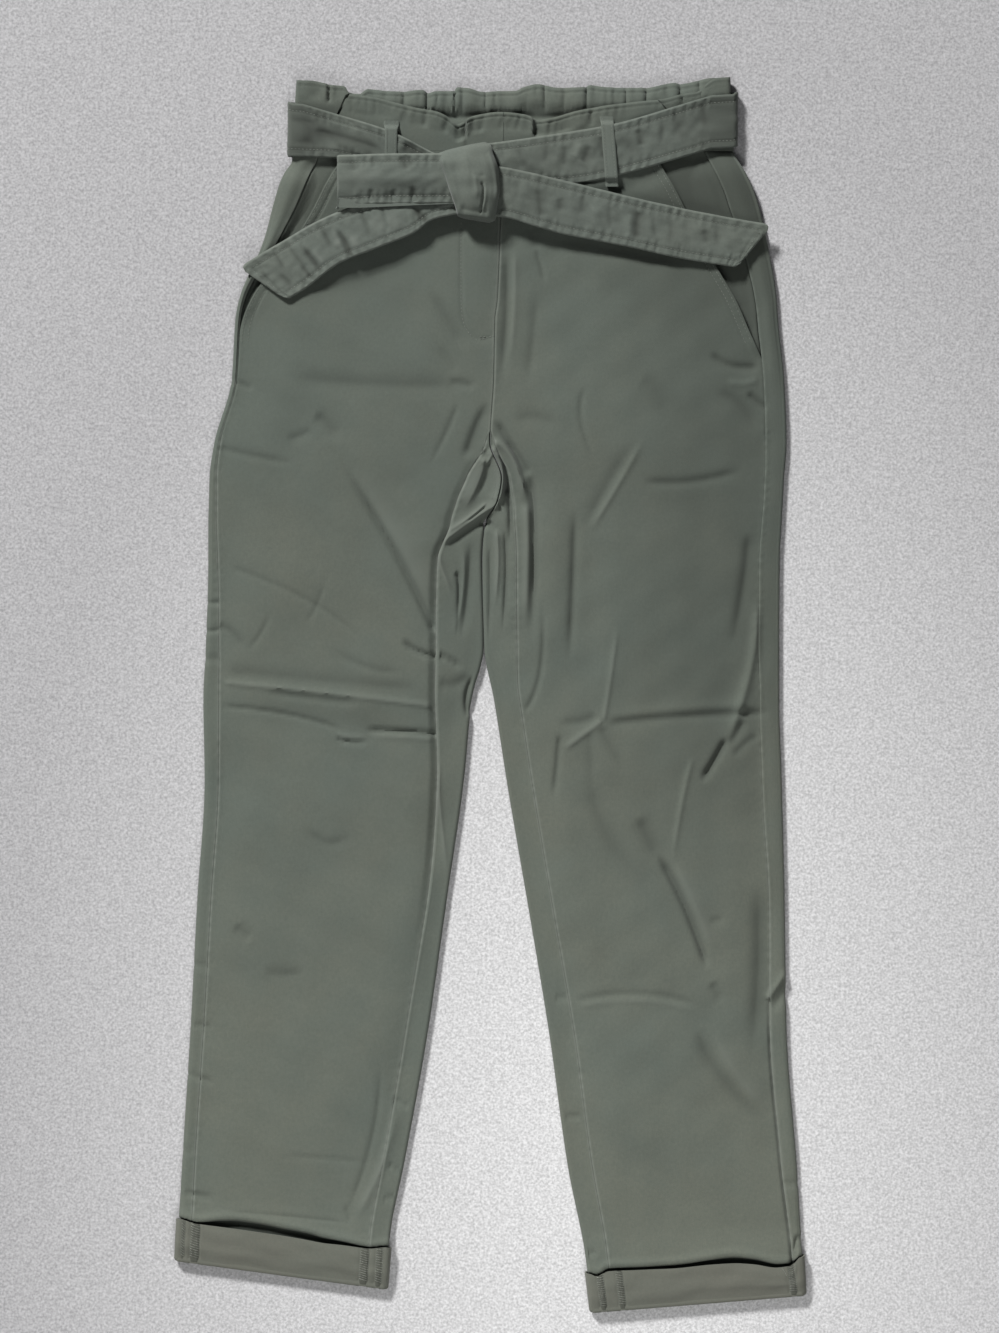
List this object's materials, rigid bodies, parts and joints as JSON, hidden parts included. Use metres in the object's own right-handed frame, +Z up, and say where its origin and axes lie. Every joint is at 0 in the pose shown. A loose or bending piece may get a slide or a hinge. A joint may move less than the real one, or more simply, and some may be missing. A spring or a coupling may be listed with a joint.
{
  "type": "paperbag waist trousers",
  "caption": "Ankle-length paperbag waist trousers laid flat on their back, with a gathered waist, slant pockets, a sash belt tied in a half bow and turned-up cuffs.",
  "frame": {"origin": "centre of the bounding box in plan, on the surface that the trousers lie on", "axes": "+X to the wearer's left, +Y from the hems to the waist, +Z up through the front from the surface"},
  "size_m": [0.5138, 1.0028, 0.035],
  "materials": {
    "twill": "matt grey-green stretch cotton twill, right side",
    "belt_twill": "the same twill doubled and topstitched, for the belt and its loops",
    "twill_wrong_side": "the twill's slightly paler wrong side, shown on the turned-up cuffs"
  },
  "bodies": {
    "root": {"front_right": "twill", "front_left": "twill", "back_right": "twill", "back_left": "twill", "pocket_facing_right": "twill", "pocket_facing_left": "twill", "waist_front_right": "twill", "waist_front_left": "twill", "waist_back": "twill", "belt_run_right": "belt_twill", "belt_run_left": "belt_twill", "belt_back": "belt_twill", "belt_knot": "belt_twill", "belt_bow_loop": "belt_twill", "belt_tail_right": "belt_twill", "belt_tail_left": "belt_twill", "belt_loop_right": "belt_twill", "belt_loop_left": "belt_twill", "belt_loop_back_right": "belt_twill", "belt_loop_back_centre": "belt_twill", "belt_loop_back_left": "belt_twill", "cuff_right": "twill_wrong_side", "cuff_left": "twill_wrong_side"}
  },
  "joints": []
}
